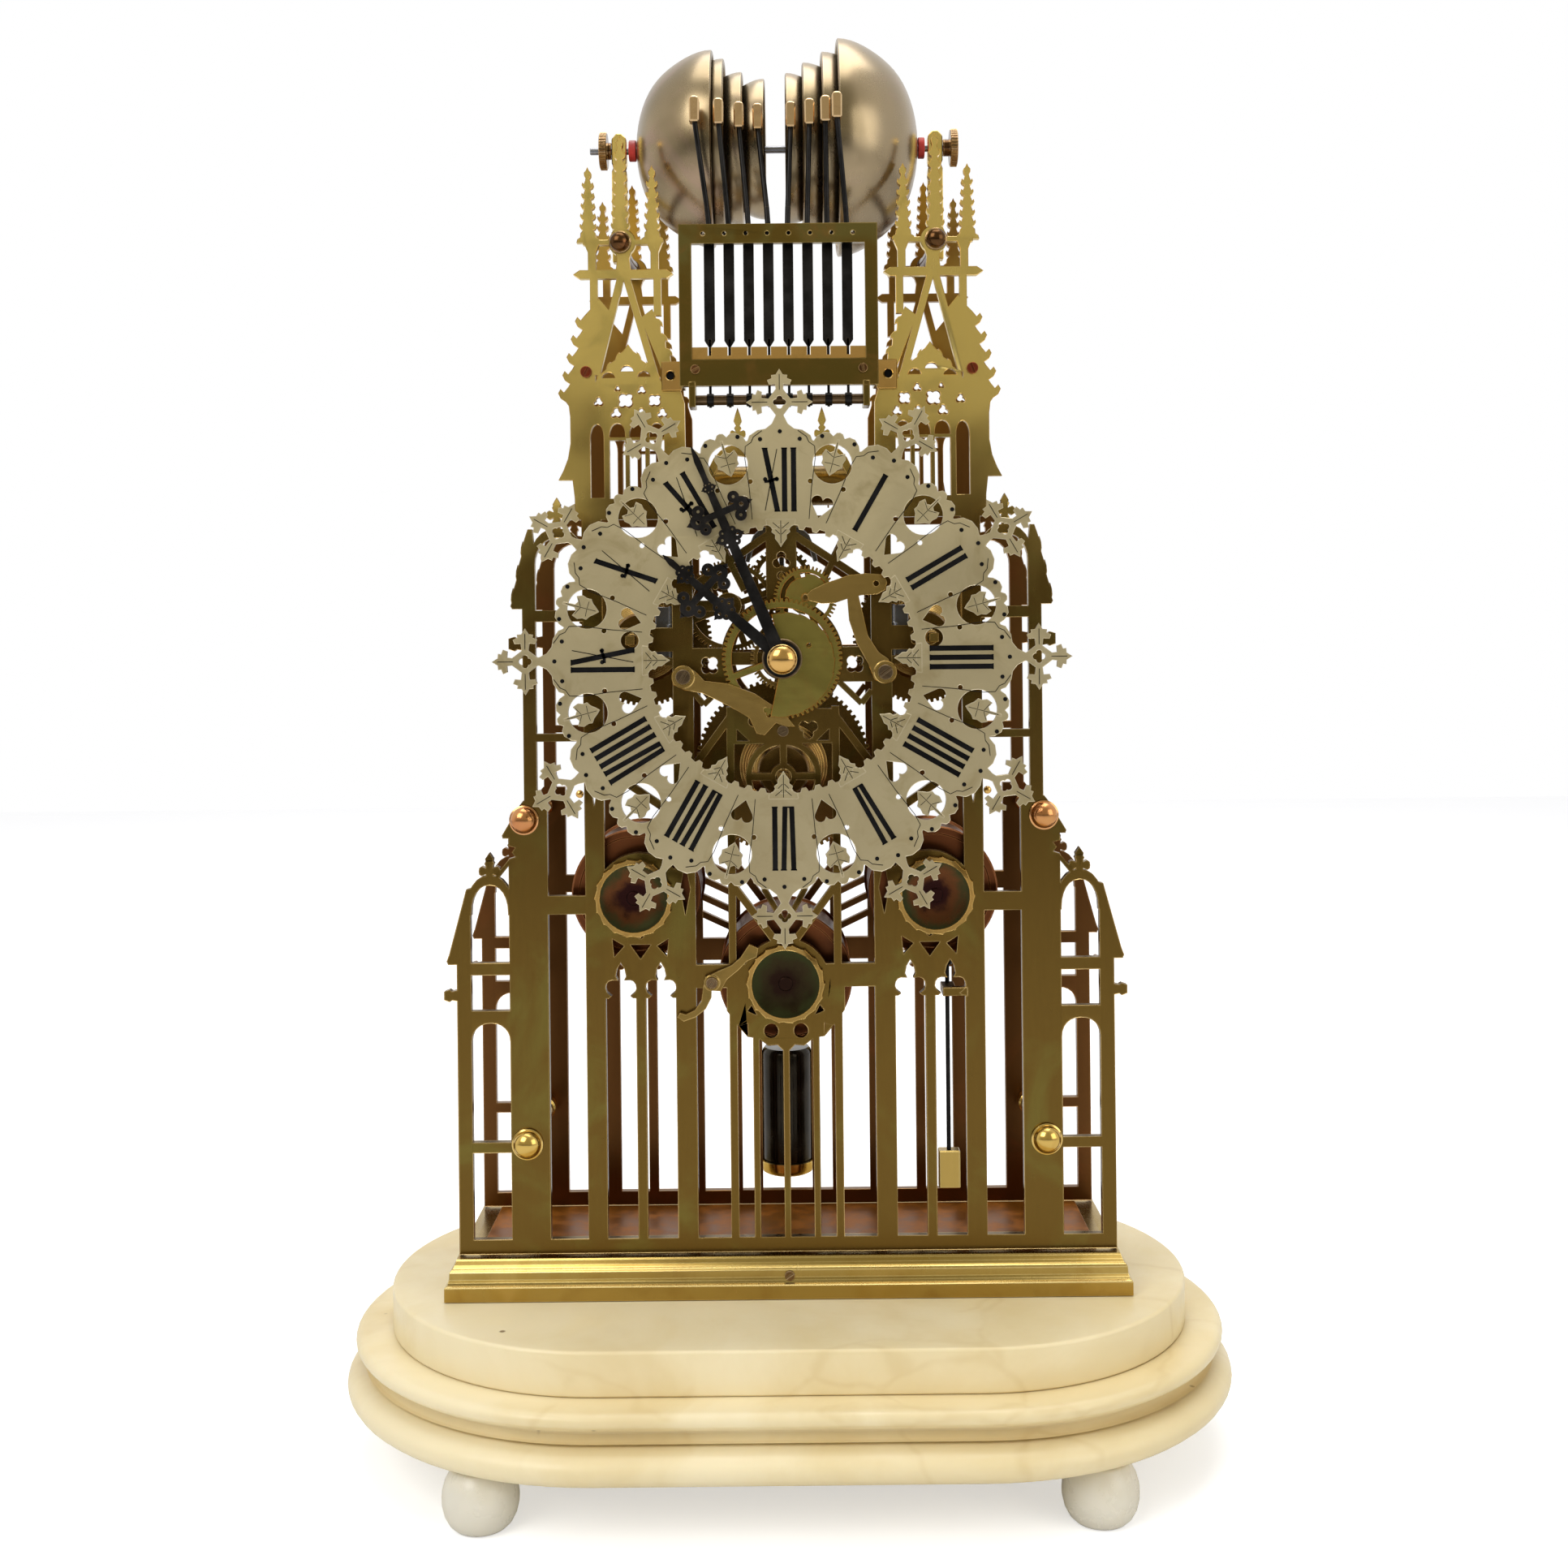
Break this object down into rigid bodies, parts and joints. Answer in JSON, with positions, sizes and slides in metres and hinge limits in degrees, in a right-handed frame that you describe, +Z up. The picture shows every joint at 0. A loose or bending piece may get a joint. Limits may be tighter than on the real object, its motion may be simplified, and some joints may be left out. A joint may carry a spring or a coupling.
{
  "type": "quarter chiming skeleton clock",
  "caption": "Triple-train skeleton clock: pierced Gothic spire plates, pierced chapter ring, nested bells over hammers, brass plinth, oval marble base on bun feet.",
  "frame": {"origin": "on the surface that the feet stand on, under the middle of the marble base", "axes": "+Z up, -Y towards the dial side, +X to the viewer's right when facing the dial"},
  "size_m": [0.414, 0.251, 0.6582],
  "materials": {
    "cream_marble": "worn polish",
    "plate_brass": "satin, lacquered",
    "bright_brass": "polished",
    "bell_metal": "polished, tarnished",
    "silvered_brass": "silvered, worn",
    "blackened_steel": "black, semi-gloss",
    "grey_steel": "satin"
  },
  "bodies": {
    "clock_frame": {"marble_base": "cream_marble", "marble_step": "cream_marble", "foot_front_left": "cream_marble", "foot_front_right": "cream_marble", "foot_rear_left": "cream_marble", "foot_rear_right": "cream_marble", "brass_plinth": "bright_brass", "front_plate": "plate_brass", "rear_plate": "plate_brass", "pillar_low_left": "bright_brass", "pillar_low_right": "bright_brass", "pillar_middle_left": "bright_brass", "pillar_middle_right": "bright_brass", "pillar_top_left": "bright_brass", "pillar_top_right": "bright_brass", "bell_left_1": "bell_metal", "bell_left_2": "bell_metal", "bell_left_3": "bell_metal", "bell_left_4": "bell_metal", "bell_right_1": "bell_metal", "bell_right_2": "bell_metal", "bell_right_3": "bell_metal", "bell_right_4": "bell_metal", "bell_rod": "grey_steel", "hammer_frame": "plate_brass", "chapter_ring": "silvered_brass", "going_ratchet": "plate_brass", "strike_ratchet": "plate_brass", "chime_ratchet": "plate_brass"},
    "centre_arbor": {"centre_wheel": "plate_brass", "minute_hand": "blackened_steel", "hand_cap": "bright_brass"},
    "hour_pipe": {"hour_snail": "plate_brass", "hour_hand": "blackened_steel"},
    "minute_wheel": {"quarter_snail": "plate_brass"},
    "going_fusee_body": {"going_fusee": "plate_brass"},
    "going_barrel_body": {"going_barrel": "plate_brass"},
    "third_arbor": {"third_wheel": "plate_brass"},
    "escape_arbor": {"escape_wheel": "plate_brass"},
    "strike_fusee_body": {"strike_fusee": "plate_brass"},
    "strike_barrel_body": {"strike_barrel": "plate_brass"},
    "strike_fly_body": {"strike_fly": "blackened_steel"},
    "chime_fusee_body": {"chime_fusee": "plate_brass"},
    "chime_barrel_body": {"chime_barrel": "plate_brass"},
    "chime_fly_body": {"chime_fly": "blackened_steel"},
    "chime_drum_body": {"chime_drum": "plate_brass"},
    "pendulum_body": {"pendulum": "grey_steel"},
    "pallet_body": {"pallets": "grey_steel"},
    "quarter_lever_body": {"quarter_lever": "plate_brass"},
    "rack_lever_body": {"rack_lever": "plate_brass"},
    "click_body": {"going_click": "plate_brass"},
    "pull_rod_body": {"pull_rod": "bright_brass"},
    "hammer_1_body": {"hammer_1": "blackened_steel"},
    "hammer_2_body": {"hammer_2": "blackened_steel"},
    "hammer_3_body": {"hammer_3": "blackened_steel"},
    "hammer_4_body": {"hammer_4": "blackened_steel"},
    "hammer_5_body": {"hammer_5": "blackened_steel"},
    "hammer_6_body": {"hammer_6": "blackened_steel"},
    "hammer_7_body": {"hammer_7": "blackened_steel"},
    "hammer_8_body": {"hammer_8": "blackened_steel"}
  },
  "joints": [
    {"name": "hands_turn", "type": "hinge", "parent": "clock_frame", "child": "centre_arbor", "pos_m": [0, 0, 0.3671], "axis": [0, 1, 0], "continuous": true},
    {"name": "hour_pipe_turn", "type": "hinge", "parent": "clock_frame", "child": "hour_pipe", "pos_m": [0, 0, 0.3671], "axis": [0, 1, 0], "continuous": true},
    {"name": "minute_wheel_turn", "type": "hinge", "parent": "clock_frame", "child": "minute_wheel", "pos_m": [0.0108, 0, 0.3945], "axis": [0, 1, 0], "continuous": true},
    {"name": "going_fusee_turn", "type": "hinge", "parent": "clock_frame", "child": "going_fusee_body", "pos_m": [0, 0, 0.313], "axis": [0, 1, 0], "continuous": true},
    {"name": "going_barrel_turn", "type": "hinge", "parent": "clock_frame", "child": "going_barrel_body", "pos_m": [0, 0, 0.2188], "axis": [0, 1, 0], "continuous": true},
    {"name": "third_turn", "type": "hinge", "parent": "clock_frame", "child": "third_arbor", "pos_m": [-0.0243, 0, 0.3912], "axis": [0, 1, 0], "continuous": true},
    {"name": "escape_turn", "type": "hinge", "parent": "clock_frame", "child": "escape_arbor", "pos_m": [0, 0, 0.4047], "axis": [0, 1, 0], "continuous": true},
    {"name": "strike_fusee_turn", "type": "hinge", "parent": "clock_frame", "child": "strike_fusee_body", "pos_m": [-0.0675, 0, 0.376], "axis": [0, 1, 0], "continuous": true},
    {"name": "strike_barrel_turn", "type": "hinge", "parent": "clock_frame", "child": "strike_barrel_body", "pos_m": [-0.0687, 0, 0.2584], "axis": [0, 1, 0], "continuous": true},
    {"name": "strike_fly_spin", "type": "hinge", "parent": "clock_frame", "child": "strike_fly_body", "pos_m": [-0.0512, -0.024, 0.3795], "axis": [0, 0, 1], "continuous": true},
    {"name": "chime_fusee_turn", "type": "hinge", "parent": "clock_frame", "child": "chime_fusee_body", "pos_m": [0.0675, 0, 0.376], "axis": [0, 1, 0], "continuous": true},
    {"name": "chime_barrel_turn", "type": "hinge", "parent": "clock_frame", "child": "chime_barrel_body", "pos_m": [0.0687, 0, 0.2584], "axis": [0, 1, 0], "continuous": true},
    {"name": "chime_fly_spin", "type": "hinge", "parent": "clock_frame", "child": "chime_fly_body", "pos_m": [0.0512, -0.024, 0.3795], "axis": [0, 0, 1], "continuous": true},
    {"name": "chime_drum_turn", "type": "hinge", "parent": "clock_frame", "child": "chime_drum_body", "pos_m": [0, -0.018, 0.447], "axis": [1, 0, 0], "continuous": true},
    {"name": "pendulum_swing", "type": "hinge", "parent": "clock_frame", "child": "pendulum_body", "pos_m": [0, 0.052, 0.45], "axis": [0, 1, 0], "range_deg": [-2, 2]},
    {"name": "pallet_rock", "type": "hinge", "parent": "clock_frame", "child": "pallet_body", "pos_m": [0, 0, 0.43], "axis": [0, 1, 0], "range_deg": [-3.7, 3.7]},
    {"name": "quarter_lever_lift", "type": "hinge", "parent": "clock_frame", "child": "quarter_lever_body", "pos_m": [0.0462, 0, 0.3606], "axis": [0, 1, 0], "range_deg": [0, 5]},
    {"name": "rack_lever_lift", "type": "hinge", "parent": "clock_frame", "child": "rack_lever_body", "pos_m": [-0.0445, 0, 0.3593], "axis": [0, 1, 0], "range_deg": [-6, 0]},
    {"name": "going_click_lift", "type": "hinge", "parent": "clock_frame", "child": "click_body", "pos_m": [-0.0335, 0, 0.22], "axis": [0, 1, 0], "range_deg": [-8, 0]},
    {"name": "pull_rod_slide", "type": "slide", "parent": "clock_frame", "child": "pull_rod_body", "axis": [0, 0, 1], "range_m": [-0.008, 0], "stiffness_N_per_m": 50, "springref_m": 0.006},
    {"name": "hammer_1_strike", "type": "hinge", "parent": "clock_frame", "child": "hammer_1_body", "pos_m": [-0.03115, -0.0452, 0.484], "axis": [1, 0, 0], "range_deg": [-0.9, 2.4], "stiffness_Nm_per_rad": 0.15},
    {"name": "hammer_2_strike", "type": "hinge", "parent": "clock_frame", "child": "hammer_2_body", "pos_m": [-0.02225, -0.0452, 0.484], "axis": [1, 0, 0], "range_deg": [-0.9, 2.4], "stiffness_Nm_per_rad": 0.15},
    {"name": "hammer_3_strike", "type": "hinge", "parent": "clock_frame", "child": "hammer_3_body", "pos_m": [-0.01335, -0.0452, 0.484], "axis": [1, 0, 0], "range_deg": [-0.9, 2.4], "stiffness_Nm_per_rad": 0.15},
    {"name": "hammer_4_strike", "type": "hinge", "parent": "clock_frame", "child": "hammer_4_body", "pos_m": [-0.00445, -0.0452, 0.484], "axis": [1, 0, 0], "range_deg": [-0.9, 2.4], "stiffness_Nm_per_rad": 0.15},
    {"name": "hammer_5_strike", "type": "hinge", "parent": "clock_frame", "child": "hammer_5_body", "pos_m": [0.00445, -0.0452, 0.484], "axis": [1, 0, 0], "range_deg": [-0.9, 2.4], "stiffness_Nm_per_rad": 0.15},
    {"name": "hammer_6_strike", "type": "hinge", "parent": "clock_frame", "child": "hammer_6_body", "pos_m": [0.01335, -0.0452, 0.484], "axis": [1, 0, 0], "range_deg": [-0.9, 2.4], "stiffness_Nm_per_rad": 0.15},
    {"name": "hammer_7_strike", "type": "hinge", "parent": "clock_frame", "child": "hammer_7_body", "pos_m": [0.02225, -0.0452, 0.484], "axis": [1, 0, 0], "range_deg": [-0.9, 2.4], "stiffness_Nm_per_rad": 0.15},
    {"name": "hammer_8_strike", "type": "hinge", "parent": "clock_frame", "child": "hammer_8_body", "pos_m": [0.03115, -0.0452, 0.484], "axis": [1, 0, 0], "range_deg": [-0.9, 2.4], "stiffness_Nm_per_rad": 0.15}
  ],
  "couplings": [
    {"joint": "hour_pipe_turn", "follows": "hands_turn", "ratio": 0.083333},
    {"joint": "minute_wheel_turn", "follows": "hands_turn", "ratio": -1},
    {"joint": "going_fusee_turn", "follows": "hands_turn", "ratio": -0.25},
    {"joint": "going_barrel_turn", "follows": "hands_turn", "ratio": -0.1371},
    {"joint": "third_turn", "follows": "hands_turn", "ratio": -5},
    {"joint": "escape_turn", "follows": "hands_turn", "ratio": 20},
    {"joint": "strike_barrel_turn", "follows": "strike_fusee_turn", "ratio": 0.56667},
    {"joint": "strike_fly_spin", "follows": "strike_fusee_turn", "ratio": 12},
    {"joint": "chime_barrel_turn", "follows": "chime_fusee_turn", "ratio": 0.56667},
    {"joint": "chime_fly_spin", "follows": "chime_fusee_turn", "ratio": -12},
    {"joint": "chime_drum_turn", "follows": "chime_fusee_turn", "ratio": 4},
    {"joint": "pallet_rock", "follows": "pendulum_swing", "ratio": 1.8}
  ]
}
